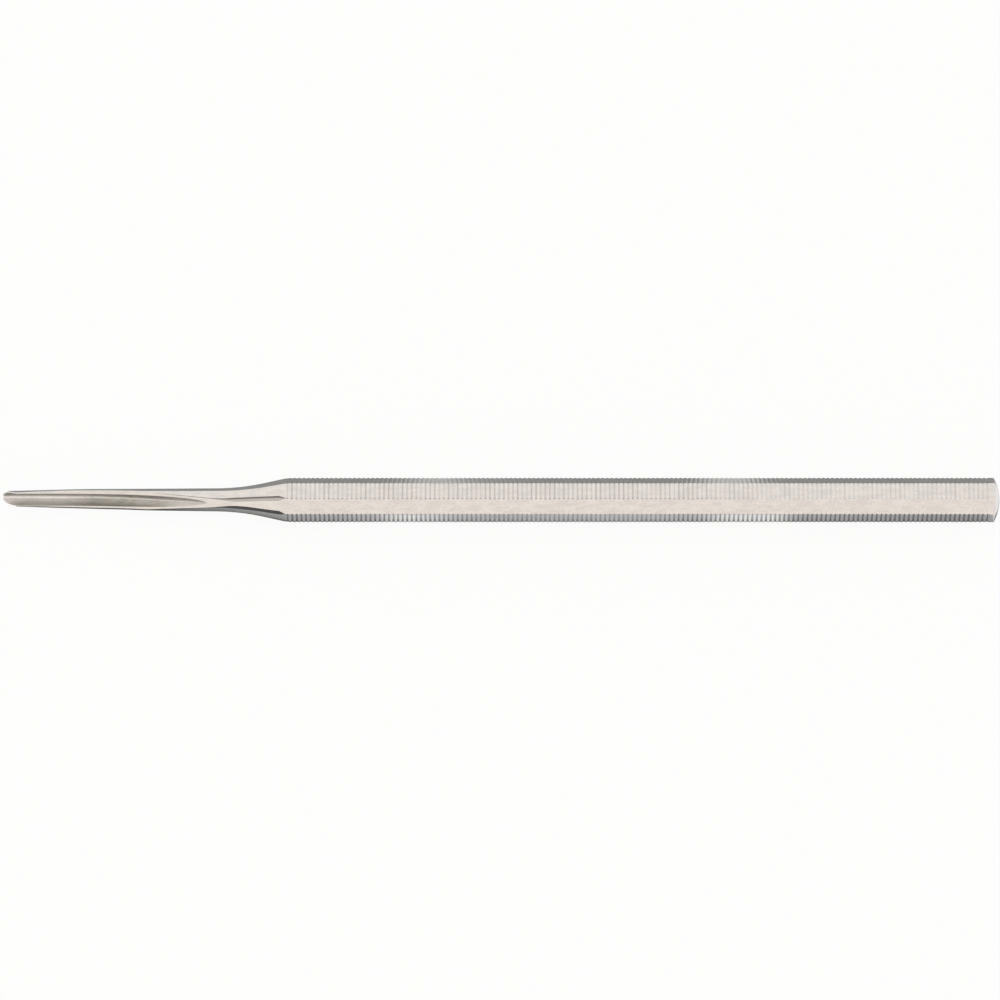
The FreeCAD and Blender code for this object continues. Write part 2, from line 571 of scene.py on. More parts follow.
@dataclass
class Blade:
    """Blade of the gouge: its facets, round back and ground cutting edge."""

    neck: Neck
    front: Run = Run(0.0, -0.17, 0.5)
    front_bend_at: float = 14.4
    front_bend_radius: float = 150.0
    front_rise_angle: float = 5.1
    side: Run = Run(0.0, 0.97, 2.9)
    side_bend_at: float = 9.0
    side_bend_radius: float = 320.0
    side_rise_angle: float = 0.4
    shoulder: Run = Run(0.0, 0.955, 1.0)
    back: Run = Run(0.0, 1.6, 0.0)
    round_centre: float = -0.4
    round_tip_radius: float = 1.25
    round_opening: float = 0.0018
    round_blend: float = 0.05
    edge_length: float = 2.2
    lean_fade: float = 8.0
    edge_places: Numbers = (0.0, 6.0, 19.0, 29.0, 34.0, 42.0)
    edge_radii: Numbers = (0.06, 0.30, 0.40, 0.15, 0.06, 0.07)
    rim_places: Numbers = (0.0, 8.0, 18.0)
    rim_radii: Numbers = (0.08, 0.25, 0.40)

    @property
    def front_rise(self) -> Run:
        """Rising run of the front facet, which the channel climbs out through."""
        at = self.front_bend_at
        return Run(at, self.front.height_at(at), self.front_rise_angle)

    def lines(self) -> dict[Facet, GroundLine]:
        """Lengthwise lines of all the facets.

        Returns:
            The line of each facet, from the tip to the head.
        """
        at = self.side_bend_at
        side_rise = Run(at, self.side.height_at(at), self.side_rise_angle)
        front = self.neck.facet_line((self.front, self.front_rise), (self.front_bend_radius,))
        side = self.neck.facet_line((self.side, side_rise), (self.side_bend_radius,))
        shoulder = self.neck.facet_line((self.shoulder,), ())
        back = self.neck.facet_line((self.back,), ())
        bevel = self.neck.bevel_line(self.front_rise, self.shoulder)
        return {
            Facet.FRONT: front,
            Facet.LOWER_BEVEL: bevel,
            Facet.LOWER_SHOULDER: shoulder,
            Facet.LOWER_SIDE: side,
            Facet.LOWER_BACK: back,
            Facet.BACK: back,
            Facet.UPPER_BACK: back,
            Facet.UPPER_SIDE: side,
            Facet.UPPER_SHOULDER: shoulder,
            Facet.UPPER_BEVEL: bevel,
        }

    def round_radius(self, places: np.ndarray) -> np.ndarray:
        """Radius of the round form that trims the blade's back, which opens towards the neck."""
        return self.round_tip_radius + self.round_opening * places**2

    def land_reach(self, places: np.ndarray, top: np.ndarray) -> np.ndarray:
        """Distance from the middle at which the front facet meets the round form."""
        squared = self.round_radius(places) ** 2 - (top - self.round_centre) ** 2
        return np.sqrt(np.clip(squared, 0.0, None))

    def rounded(self, places: np.ndarray, top: np.ndarray, up: np.ndarray, out: np.ndarray) -> Pair:
        """Draws points in to the round form, and rounds its corner with the front facet.

        Args:
            places: Distances from the tip.
            top: Heights of the front facet there.
            up: Heights of the points.
            out: Distances of the points from the middle.

        Returns:
            The heights and distances after trimming.
        """
        radius = self.round_radius(places)
        away = np.hypot(up - self.round_centre, out)
        kept = (away - ramp(away - radius, self.round_blend)) / np.maximum(away, TINY)
        up = self.round_centre + (up - self.round_centre) * kept
        out = out * kept
        soft = np.interp(places, self.rim_places, self.rim_radii)
        from_top = soft - (top - up)
        from_round = soft - (radius - np.hypot(up - self.round_centre, out))
        stretch = np.hypot(from_top, from_round)
        in_corner = (from_top > 0) & (from_round > 0) & (stretch > soft)
        share = np.where(in_corner, soft / stretch, 1.0)
        soft_up = top - soft + from_top * share
        soft_away = radius - soft + from_round * share
        soft_out = np.sqrt(np.clip(soft_away**2 - (soft_up - self.round_centre) ** 2, 0.0, None))
        return np.where(share < 1, soft_up, up), np.where(share < 1, soft_out * np.sign(out), out)

    def lean(self, start: float) -> float:
        """Slope of a ring of points along the bar.

        Args:
            start: Place of the ring at the blade's back.

        Returns:
            The slope of the cutting bevel at the tip, and none further on.
        """
        rim = self.front.height_at(self.edge_length)
        steepest = self.edge_length / (rim + self.back.height)
        return steepest * max(0.0, 1 - start / self.lean_fade) ** 2


@dataclass
class Serrations:
    """Fine grooves across every facet of the grip but the front one, with dirt and painted shade in
    them.
    """

    bar: Bar
    start: float = 41.98
    pitch: float = 0.672
    depth: float = 0.09
    end_to_head: float = 1.75
    half_floor: float = 0.045
    half_top: float = 0.148
    half_land: float = 0.18
    worn_depth: float = 0.01
    depth_uneven: float = 0.05
    seed: int = 11
    soil_spread: float = 1.7
    soil_uneven: float = 0.5
    heavy_soil: float = 0.5
    # Places where the groove darkening eases, on the darkest facets and towards the head.
    soil_places: Numbers = (62.0, 74.0, 95.0, 102.0)
    soil_levels: Numbers = (1.0, 0.5, 0.5, 1.0)
    worn_places: Numbers = (102.0, 112.0)
    worn_levels: Numbers = (1.0, 0.6)
    nick_fade: float = 2.0
    # Share of dirt and painted shade in each facet's grooves; the painted shade makes the lower facets
    # darkest.
    soil: dict[Facet, float] = field(
        default_factory=lambda: {
            Facet.LOWER_SHOULDER: 1.0,
            Facet.LOWER_SIDE: 0.8,
            Facet.LOWER_BACK: 0.5,
            Facet.BACK: 0.4,
            Facet.UPPER_BACK: 0.4,
            Facet.UPPER_SIDE: 0.15,
            Facet.UPPER_SHOULDER: 0.36,
        }
    )

    @property
    def count(self) -> int:
        """Number of grooves that fit on the grip."""
        return int((self.bar.length - self.end_to_head - self.start) / self.pitch) + 1

    def rings(self) -> Pair:
        """Places of the rings of points along the grip, and how deep each is cut on each facet.

        Returns:
            The places, and depths with one row for a ring and one column for a facet.
        """
        chance = np.random.default_rng(self.seed)
        profile = (
            (-self.half_land, 0.0),
            (-self.half_top, self.worn_depth),
            (-self.half_floor, self.depth),
            (self.half_floor, self.depth),
            (self.half_top, self.worn_depth),
            (self.half_land, 0.0),
            (self.pitch / 2, 0.0),
        )
        front = list(Facet).index(Facet.FRONT)
        places = []
        cuts = []
        for number in range(self.count):
            middle = self.start + number * self.pitch
            depths = 1 + self.depth_uneven * chance.uniform(-1, 1, len(Facet))
            depths[front] = 0.0
            for offset, depth in profile:
                places.append(middle + offset)
                cuts.append(depth * depths)
        return np.array(places), np.array(cuts)

    def marks(self, columns: Columns, rings: int) -> Marks:
        """Dirt and painted shade in the grooves, darkest on the lower facets, and painted shade in the
        nicks that they leave in the ridge.

        On the darkest facets the grooves are lighter in the middle of the grip. On the others the
        darkening varies from groove to groove, and fades towards the head.

        Args:
            columns: Columns of a section.
            rings: Rings of the grip and the head together.

        Returns:
            The marks, with one row for a ring and one column for a point that the grip keeps.
        """
        places, depths = self.rings()
        facet = columns.facet[columns.on_grip]
        # Dirt and painted shade fill the grooves, weighted by facet.
        cut = np.clip(depths[:, facet] / self.depth * self.soil_spread, 0.0, 1.0)
        soil = np.array([self.soil.get(one, 0.0) for one in Facet])[facet]
        along_grip = np.interp(places, self.soil_places, self.soil_levels)
        weight = np.interp(places, self.worn_places, self.worn_levels)
        chance = np.random.default_rng(self.seed + 1)
        uneven = 1 + self.soil_uneven * chance.uniform(-1, 1, self.count)
        uneven = np.repeat(uneven, len(places) // self.count) * weight
        level = np.where(soil > self.heavy_soil, along_grip[:, None], uneven[:, None])
        # Painted shade in the notches where the grooves cross the ridge.
        nick = cut * columns.ridge[columns.on_grip] * (1 - self.nick_fade * (1 - weight))[:, None]
        head = ((0, rings - len(places)), (0, 0))
        return {Mark.CUT: np.pad(cut * soil * level, head), Mark.NICK: np.pad(nick, head)}


@dataclass
class Gouge:
    """The whole instrument as one body of steel, drawn as rings of points along the bar.

    The rings are counted stretch by stretch: the tip, the rest of the edge, the channel, its
    run-out, the neck, the shoulder and the dome. Those at the tip lean to lie on the cutting
    bevel, which takes a few rounds of settling.
    """

    bar: Bar
    neck: Neck = field(init=False)
    blade: Blade = field(init=False)
    channel: Channel = field(init=False)
    serrations: Serrations = field(init=False)
    columns: Columns = field(init=False)
    lines: dict[Facet, GroundLine] = field(init=False)
    front_turn: float = 45.0
    grip_from: float = 41.74
    tip_end: float = 3.0
    tip_rings: int = 15
    edge_end: float = 10.0
    edge_rings: int = 21
    channel_rings: int = 51
    run_out: float = 2.4
    run_out_root: float = 1.5
    run_out_rings: int = 14
    neck_end: float = 40.0
    neck_rings: int = 33
    shoulder_rings: int = 13
    settling: int = 8
    dome_blend: float = 0.035
    dome_blend_length: float = 0.12
    dome_blend_shares: Numbers = (0.0, 1 / 3, 2 / 3, 1.0)
    dome_rings: int = 12
    dome_last: float = 0.08

    def __post_init__(self) -> None:
        """Makes the sub-assemblies that share the bar's sizes."""
        self.neck = Neck(self.bar)
        self.blade = Blade(self.neck)
        self.channel = Channel(self.blade.front_rise)
        self.serrations = Serrations(self.bar)
        self.columns = Columns.around()
        self.lines = self.blade.lines()

    def edge_radius(self, places: np.ndarray) -> np.ndarray:
        """Radius of the lengthwise edges: honed away along the blade and crisp on the neck and grip."""
        return np.interp(places, self.blade.edge_places, self.blade.edge_radii)

    def facet_heights(self, places: np.ndarray, cuts: np.ndarray) -> list[np.ndarray]:
        """Heights of the facets' inner lines, on which the edges' rounding is centred.

        Args:
            places: Distances from the tip.
            cuts: Depths of the grooves, with the facets along the last axis.

        Returns:
            One array of heights for each facet, none of them clear of its neighbours' corner.
        """
        radius = self.edge_radius(places)
        inner = {}
        for number, facet in enumerate(Facet):
            height = self.lines[facet].heights(places)
            if facet not in BEVELS:
                height = np.minimum(height, self.bar.flat - cuts[..., number])
            inner[facet] = height - radius
        trios = (
            (Facet.FRONT, Facet.LOWER_SHOULDER, Facet.LOWER_SIDE),
            (Facet.FRONT, Facet.LOWER_BEVEL, Facet.LOWER_SHOULDER),
            (Facet.UPPER_SIDE, Facet.UPPER_SHOULDER, Facet.FRONT),
            (Facet.UPPER_SHOULDER, Facet.UPPER_BEVEL, Facet.FRONT),
        )
        for before, middle, after in trios:
            turn_after = after.value or FULL_TURN
            corner = support(inner[before], before.value, inner[after], turn_after, middle.value)
            inner[middle] = np.minimum(inner[middle], corner)
        return [inner[facet] for facet in Facet]

    def section(self, places: np.ndarray, picked: np.ndarray, cuts: np.ndarray) -> Pair:
        """Outline points at given places.

        Args:
            places: Distances from the tip, one row for a ring and one column for a point.
            picked: Numbers of the columns that the points belong to.
            cuts: Depths of the grooves, one row for a ring and one column for a facet.

        Returns:
            Heights and distances from the middle, shaped like places.
        """
        up = np.zeros_like(places)
        out = np.zeros_like(places)
        turns = [facet.value for facet in Facet]
        count = len(turns)
        for number in range(count):
            mine = np.flatnonzero(self.columns.facet[picked] == number)
            at = places[:, mine]
            heights = self.facet_heights(at, cuts[:, None, :])
            radius = self.edge_radius(at)
            corners = []
            for first, second in ((number - 1, number), (number, number + 1)):
                turn_a = turns[first] - (FULL_TURN if first < 0 else 0.0)
                turn_b = turns[second % count] + (FULL_TURN if second == count else 0.0)
                height_a, height_b = heights[first], heights[second % count]
                corner_u = support(height_a, turn_a, height_b, turn_b, 0.0)
                corner_v = support(height_a, turn_a, height_b, turn_b, QUARTER_TURN)
                corners.append((corner_u, corner_v))
            share = self.columns.share[picked][mine]
            normal = self.columns.normal[picked][mine]
            part = self.columns.part[picked][mine]
            side = self.columns.side[picked][mine]
            (from_u, from_v), (to_u, to_v) = corners
            flat_u = from_u * (1 - share) + to_u * share + radius * np.cos(normal)
            flat_v = from_v * (1 - share) + to_v * share + radius * np.sin(normal)
            top = heights[0] + radius
            half_width = np.minimum(to_v, self.blade.land_reach(at, top))
            front_u, front_v = self.channel.sections(at, top, half_width, share, part)
            up[:, mine] = np.where(part == Part.PLAIN, flat_u, front_u)
            out[:, mine] = np.where(part == Part.PLAIN, flat_v, front_v * side)
        top = np.minimum(self.lines[Facet.FRONT].heights(places), self.bar.flat)
        return self.blade.rounded(places, top, up, out)

    def ground_starts(self) -> np.ndarray:
        """Places of the rings of the blade and the neck, close together where the channel runs out.

        Returns:
            The places at the gouge's back, from the tip to the grip.
        """
        end = self.channel.end
        stretches = (
            (0.0, self.tip_end, self.tip_rings),
            (self.tip_end, self.edge_end, self.edge_rings),
            (self.edge_end, end - self.run_out, self.channel_rings),
            (end, self.neck_end, self.neck_rings),
            (self.neck_end, self.grip_from, self.shoulder_rings),
        )
        even = [np.linspace(first, last, rings + 1)[1:] for first, last, rings in stretches]
        close = end - np.linspace(self.run_out_root, 0, self.run_out_rings) ** 2
        return np.sort(np.concatenate([[0.0], *even, close]))

    def ground_rings(self) -> np.ndarray:
        """Rings of the blade and the neck, leaning at the tip to lie on the cutting bevel.

        Returns:
            Place, height and distance from the middle of each point, ring by ring.
        """
        starts = self.ground_starts()
        picked = np.arange(len(self.columns.facet))
        no_cut = np.zeros((len(starts), len(Facet)))
        leans = np.array([self.blade.lean(start) for start in starts])[:, None]
        places = np.repeat(starts[:, None], len(picked), axis=1)
        for _ in range(self.settling):
            up, out = self.section(places, picked, no_cut)
            places = starts[:, None] + leans * (up + self.blade.back.height)
        return np.stack([places, up, out], axis=-1)

    def grip_rings(self) -> np.ndarray:
        """Rings of the serrated grip and the domed head, with fewer points than the blade's.

        Returns:
            Place, height and distance from the middle of each point, ring by ring.
        """
        starts, cuts = self.serrations.rings()
        picked = np.flatnonzero(self.columns.on_grip)
        places = np.repeat(starts[:, None], len(picked), axis=1)
        up, out = self.section(places, picked, cuts)
        grip = np.stack([places, up, out], axis=-1)
        rim_u, rim_v = up[-1], out[-1]
        radius = np.hypot(rim_u, rim_v)
        rim = self.bar.dome_place(radius)
        inner = 1 - self.dome_blend
        landing = self.bar.dome_place(inner * radius)
        head = []
        for share in self.dome_blend_shares:
            turn = 1 - (1 - inner) * share**2
            before = (1 - share) ** 2 * (rim - self.dome_blend_length)
            place = before + 2 * share * (1 - share) * rim + share**2 * landing
            head.append(np.stack([place, rim_u * turn, rim_v * turn], axis=-1))
        for part in np.linspace(inner, self.dome_last, self.dome_rings + 1)[1:]:
            place = self.bar.dome_place(part * radius)
            head.append(np.stack([place, rim_u * part, rim_v * part], axis=-1))
        return np.concatenate([grip, np.array(head)])

    def placed(self, points: np.ndarray) -> np.ndarray:
        """Points in the frame of the part, in metres.

        Args:
            points: Place, height and distance from the middle of each point.

        Returns:
            The same points as x, y and z.
        """
        turn = math.radians(self.front_turn)
        place, up, out = np.moveaxis(points, -1, 0)
        x = place - self.bar.length / 2
        y = -up * math.sin(turn) - out * math.cos(turn)
        z = self.bar.flat + up * math.cos(turn) - out * math.sin(turn)
        return np.stack([x, y, z], axis=-1) * MM

    def faces(self, rows: int, grip_rows: int) -> list[tuple[int, ...]]:
        """Faces of the body: blade and neck, a stitching row, grip and head, and the two ends.

        Args:
            rows: Rings of the blade and the neck.
            grip_rows: Rings of the grip and the head.

        Returns:
            The faces by their points' numbers, the cutting face first.
        """
        kept = np.flatnonzero(self.columns.on_grip)
        width = len(self.columns.facet)
        grip_width = len(kept)
        first_grip = rows * width
        faces = [tuple(reversed(range(width)))]
        faces += strips(0, rows, width)
        last = first_grip - width
        for number in range(grip_width):
            after = (number + 1) % grip_width
            span = (kept[after] - kept[number]) % width
            chain = [last + (kept[number] + step) % width for step in range(span + 1)]
            faces.append((*chain, first_grip + after, first_grip + number))
        faces += strips(first_grip, grip_rows, grip_width)
        top = first_grip + (grip_rows - 1) * grip_width
        pole = top + grip_width
        faces += [(top + number, top + (number + 1) % grip_width, pole) for number in range(grip_width)]
        return faces

    def build(self) -> bpy.types.Object:
        """Makes the mesh with the marks of its finish and of its painted light and shade.

        Returns:
            The finished object, not yet dressed.
        """
        ground = self.ground_rings()
        grip = self.grip_rings()
        pole = np.array([[self.bar.length, 0.0, 0.0]])
        points = np.concatenate([ground.reshape(-1, 3), grip.reshape(-1, 3), pole])
        mesh = bpy.data.meshes.new("gouge_body")
        mesh.from_pydata(self.placed(points).tolist(), [], self.faces(len(ground), len(grip)))
        self.mark(mesh, len(ground), len(grip))
        self.clean(mesh)
        return linked("gouge_body", mesh)

    def mark(self, mesh: bpy.types.Mesh, rows: int, grip_rows: int) -> None:
        """Stores the marks that the steel's colour and finish follow, painted light and shade among
        them.

        Args:
            mesh: Mesh whose points are still in the order of the rings.
            rows: Rings of the blade and the neck.
            grip_rows: Rings of the grip and the head.
        """
        columns = self.columns
        first_grip = rows * len(columns.facet)
        places = np.array([vertex.co.x for vertex in mesh.vertices[:first_grip]]) / MM
        places = places + self.bar.length / 2
        ground = self.channel.marks(columns, places) | self.neck.marks(columns, places)
        ground[Mark.EDGE] = np.tile(columns.edge, rows)
        grip = self.serrations.marks(columns, grip_rows)
        grip[Mark.EDGE] = np.tile(columns.edge[columns.on_grip], grip_rows)
        no_ground = np.zeros(first_grip)
        no_grip = np.zeros(grip_rows * np.count_nonzero(columns.on_grip))
        for mark in Mark:
            levels = (ground.get(mark, no_ground), grip.get(mark, no_grip).ravel(), [0.0])
            attribute = mesh.attributes.new(mark.value, "FLOAT", "POINT")
            attribute.data.foreach_set("value", np.concatenate(levels).astype(np.float32))

    def clean(self, mesh: bpy.types.Mesh) -> None:
        """Joins doubled points, keeps the ground cutting face crisp and shades the rest smooth.

        Args:
            mesh: Mesh whose first face is the cutting face.
        """
        work = bmesh.new()
        work.from_mesh(mesh)
        work.faces.ensure_lookup_table()
        cutting_face = work.faces[0]
        for face in work.faces:
            face.smooth = True
        for edge in cutting_face.edges:
            edge.smooth = False
        cutting_face.smooth = False
        # The cutting face gets the honed steel with its painted glint.
        cutting_face.material_index = Finish.HONED
        bmesh.ops.remove_doubles(work, verts=work.verts, dist=WELD)
        work.faces.ensure_lookup_table()
        bmesh.ops.triangulate(work, faces=[face for face in work.faces if len(face.verts) > QUAD])
        work.to_mesh(mesh)
        work.free()


@dataclass
class Graph:
    """Node tree that is filled through one method."""

    tree: bpy.types.NodeTree

    def __post_init__(self) -> None:
        """Starts from an empty tree."""
        self.tree.nodes.clear()

    def node(self, kind: str, settings: dict[str, Any] | None = None, **sockets: Any) -> bpy.types.Node:
        """Adds a node.

        Args:
            kind: The node's type.
            settings: Its own settings, set before its sockets; stops are a ramp's places and greys.
            sockets: Values or links by socket name, with spaces as underscores, or by s and a number.

        Returns:
            The new node.
        """
        node = self.tree.nodes.new(kind)
        for name, value in (settings or {}).items():
            if name == "stops":
                self.set_stops(node.color_ramp, value)
            else:
                setattr(node, name, value)
        for name, value in sockets.items():
            numbered = name[0] == "s" and name[1:].isdigit()
            socket = node.inputs[int(name[1:]) if numbered else name.replace("_", " ")]
            if isinstance(value, Value):
                value = value.socket
            if isinstance(value, bpy.types.NodeSocket):
                self.tree.links.new(value, socket)
            else:
                socket.default_value = value
        return node

    def set_stops(self, ramp: bpy.types.ColorRamp, stops: Levels) -> None:
        """Gives a ramp its stops.

        Args:
            ramp: The ramp.
            stops: Places from 0 to 1, each with a grey level.
        """
        while len(ramp.elements) > 1:
            ramp.elements.remove(ramp.elements[-1])
        for number, (place, level) in enumerate(stops):
            element = ramp.elements[0] if number == 0 else ramp.elements.new(place)
            element.position = place
            element.color = (level, level, level, 1.0)

    def value(self, socket: bpy.types.NodeSocket) -> Value:
        """Wraps an output for shader maths."""
        return Value(self, socket)

    def mark(self, mark: Mark) -> Value:
        """Mark that the mesh stores for each point."""
        node = self.node("ShaderNodeAttribute", {"attribute_name": mark.value})
        return self.value(node.outputs["Fac"])

    def noise(self, place: bpy.types.NodeSocket, stretch: Stretch, detail: float) -> Value:
        """Noise from 0 to 1 with its own scale in each direction.

        Args:
            place: Coordinates in metres.
            stretch: Features per millimetre along x, y and z.
            detail: Octaves of detail.

        Returns:
            The noise.
        """
        scale = tuple(part / MM for part in stretch)
        scaled = self.node("ShaderNodeVectorMath", {"operation": "MULTIPLY"}, s0=place, s1=scale)
        noise = self.node("ShaderNodeTexNoise", Vector=scaled.outputs[0], Scale=1.0, Detail=detail)
        return self.value(noise.outputs["Fac"])

    def blend(
        self, share: Value, first: Colour | bpy.types.NodeSocket, second: Colour
    ) -> bpy.types.NodeSocket:
        """Colour between two others.

        Args:
            share: 0 for the first and 1 for the second.
            first: First colour, or the output that carries it.
            second: Second colour.

        Returns:
            The output with the mixed colour.
        """
        mix = self.node("ShaderNodeMix", {"data_type": "RGBA"}, s0=share, s6=first, s7=second)
        return mix.outputs[2]


@dataclass(frozen=True)
class Value:
    """Number that varies over a surface; arithmetic on it adds Math nodes."""

    graph: Graph
    socket: bpy.types.NodeSocket

    def math(self, operation: str, *numbers: Value | float) -> Value:
        """Result of a Math node on this number and others.

        Args:
            operation: The node's operation.
            numbers: What follows this number in its sockets.

        Returns:
            The result.
        """
        sockets = {f"s{place}": number for place, number in enumerate((self, *numbers))}
        node = self.graph.node("ShaderNodeMath", {"operation": operation}, **sockets)
        return Value(self.graph, node.outputs[0])

    def __add__(self, other: Value | float) -> Value:
        """Sum."""
        return self.math("ADD", other)

    __radd__ = __add__

    def __sub__(self, other: Value | float) -> Value:
        """Difference."""
        return self.math("SUBTRACT", other)

    def __rsub__(self, other: Value | float) -> Value:
        """Difference from a plain number."""
        return (self * -1.0) + other

    def __mul__(self, other: Value | float) -> Value:
        """Product."""
        return self.math("MULTIPLY", other)

    __rmul__ = __mul__

    def __truediv__(self, other: Value | float) -> Value:
        """Quotient."""
        return self.math("DIVIDE", other)

    def __neg__(self) -> Value:
        """Negative."""
        return self * -1.0

    def highest(self, other: Value | float) -> Value:
        """The larger of two numbers."""
        return self.math("MAXIMUM", other)

    def between(self, low: float, high: float) -> Value:
        """Smooth step.

        Args:
            low: Where it starts to rise from 0.
            high: Where it comes to 1.

        Returns:
            The step at this number.
        """
        sockets = {"Value": self, "From_Min": low, "From_Max": high}
        node = self.graph.node("ShaderNodeMapRange", {"interpolation_type": "SMOOTHSTEP"}, **sockets)
        return Value(self.graph, node.outputs[0])


def fresh_material(name: str) -> tuple[bpy.types.Material, Graph]:
    """Starts a node material.

    Args:
        name: Name of the material.

    Returns:
        The material and its graph, still empty.
    """
    material = bpy.data.materials.new(name)
    material.use_nodes = True
    return material, Graph(material.node_tree)


@dataclass(frozen=True)
class SatinSteel:
    """Ground stainless steel with a fine lengthwise grain, soft mottling and edges polished by use,
    with painted shade, painted highlights and painted dark reflections where its marks call for them.
    """

    name: str = "satin_steel"
    pale: Colour = (0.82, 0.815, 0.80, 1.0)
    deep: Colour = (0.71, 0.705, 0.69, 1.0)
    # Dirt and painted shade in the grooves, and painted shade on the channel's upper wall.
    grime: Colour = (0.26, 0.25, 0.24, 1.0)
    # Painted dark reflection along the ridge, and painted shade in the notches where the grooves cross
    # it.
    seam_line: Colour = (0.13, 0.11, 0.10, 1.0)
    channel_grey: Colour = (0.43, 0.43, 0.39, 1.0)
    # Painted highlight along the polished line in the channel.
    track: Colour = (0.95, 0.94, 0.92, 1.0)
    # Painted dark reflection on the bevels.
    ground_grey: Colour = (0.56, 0.55, 0.54, 1.0)
    grain: Stretch = (0.9, 14.0, 14.0)
    grain_detail: float = 4.0
    mottle: Stretch = (0.5, 1.3, 1.3)
    speck: Stretch = (5.0, 6.0, 6.0)
    streak: Stretch = (0.16, 6.0, 6.0)
    detail: float = 3.0
    mottle_tone: float = 0.5
    speck_tone: float = 0.5
    tone_limits: Limits = (0.38, 0.62)
    streak_limits: Limits = (0.35, 0.65)
    streak_depth: float = 0.45
    shade_depth: float = 0.55
    track_limits: Limits = (0.3, 0.5)
    # Strength of the painted dark reflection along the ridge.
    seam_depth: float = 0.7
    seam_speck: float = 0.4
    # Unevenness of the dirt and painted shade in the grooves.
    soil_base: float = 0.5
    soil_speck: float = 0.6
    soil_mottle: float = 0.4
    soil_limits: Limits = (0.0, 1.4)
    nick_limits: Limits = (0.2, 0.5)
    roughness: float = 0.25
    roughness_spread: float = 0.08
    edge_polish: float = 0.10
    channel_roughness: float = 0.42
    track_polish: float = 0.44
    grain_relief: float = 0.7
    speck_relief: float = 0.3
    relief_depth: float = 0.0006 * MM

    def material(self) -> bpy.types.Material:
        """Makes the node material.

        Returns:
            The material, ready for a slot.
        """
        material, graph = fresh_material(self.name)
        place = graph.node("ShaderNodeTexCoord").outputs["Object"]
        marks = {mark: graph.mark(mark) for mark in Mark}
        grain = graph.noise(place, self.grain, self.grain_detail)
        mottle = graph.noise(place, self.mottle, self.detail)
        speck = graph.noise(place, self.speck, self.detail)
        streak = graph.noise(place, self.streak, self.detail).between(*self.streak_limits)
        # Painted highlight along the polished line, which is also less rough.
        weight = marks[Mark.TRACK] * grain.between(*self.track_limits)
        # Unevenness of the dirt and painted shade in the grooves.
        soil = self.soil_base + self.soil_speck * speck + self.soil_mottle * mottle
        layers = (
            (marks[Mark.TARNISH] * (1.0 - self.streak_depth * streak), self.channel_grey),
            # Painted shade on the channel's upper wall.
            (marks[Mark.SHADE] * self.shade_depth, self.grime),
            # Painted dark reflection on the bevels.
            (marks[Mark.STRIP], self.ground_grey),
            # Painted highlight along the polished line.
            (weight, self.track),
            # Painted dark reflection along the ridge.
            (marks[Mark.SEAM] * (self.seam_depth + self.seam_speck * speck), self.seam_line),
            # Dirt and painted shade in the grooves.
            (marks[Mark.CUT] * soil.between(*self.soil_limits), self.grime),
            # Painted shade in the notches at the ridge.
            (marks[Mark.NICK] * mottle.between(*self.nick_limits), self.seam_line),
        )
        tone = (self.mottle_tone * mottle + self.speck_tone * speck).between(*self.tone_limits)
        colour = graph.blend(tone, self.deep, self.pale)
        for share, layer in layers:
            colour = graph.blend(share, colour, layer)
        uneven = self.roughness_spread * (grain + mottle - 1.0)
        rough = self.roughness + uneven - self.edge_polish * marks[Mark.EDGE]
        rough = rough + self.channel_roughness * marks[Mark.CHANNEL] - self.track_polish * weight
        relief = self.grain_relief * grain + self.speck_relief * speck
        bump = graph.node("ShaderNodeBump", Strength=1.0, Distance=self.relief_depth, Height=relief)
        steel = graph.node(
            "ShaderNodeBsdfPrincipled",
            Base_Color=colour,
            Roughness=rough,
            Metallic=1.0,
            Normal=bump.outputs[0],
        )
        graph.node("ShaderNodeOutputMaterial", Surface=steel.outputs[0])
        return material


@dataclass(frozen=True)
class HonedSteelWithGlint(SatinSteel):
    """The cutting face: the same steel honed smoother, with a painted glint in its paler colour and a
    fine grain across the bar.
    """

    name: str = "honed_steel"
    # Paler colours paint the glint on the honed cutting face.
    pale: Colour = (0.93, 0.93, 0.92, 1.0)
    deep: Colour = (0.86, 0.86, 0.85, 1.0)
    grain: Stretch = (14.0, 0.9, 0.9)
    roughness: float = 0.12


@dataclass(frozen=True)
class PaintedReflection:
    """Glowing sheet on the table that only the steel sees, a painted reflection; its edges are places
    along the gouge with a y, in millimetres.
    """

    name: str
    far_edge: Outline
    near_edge: Outline
    levels: Levels


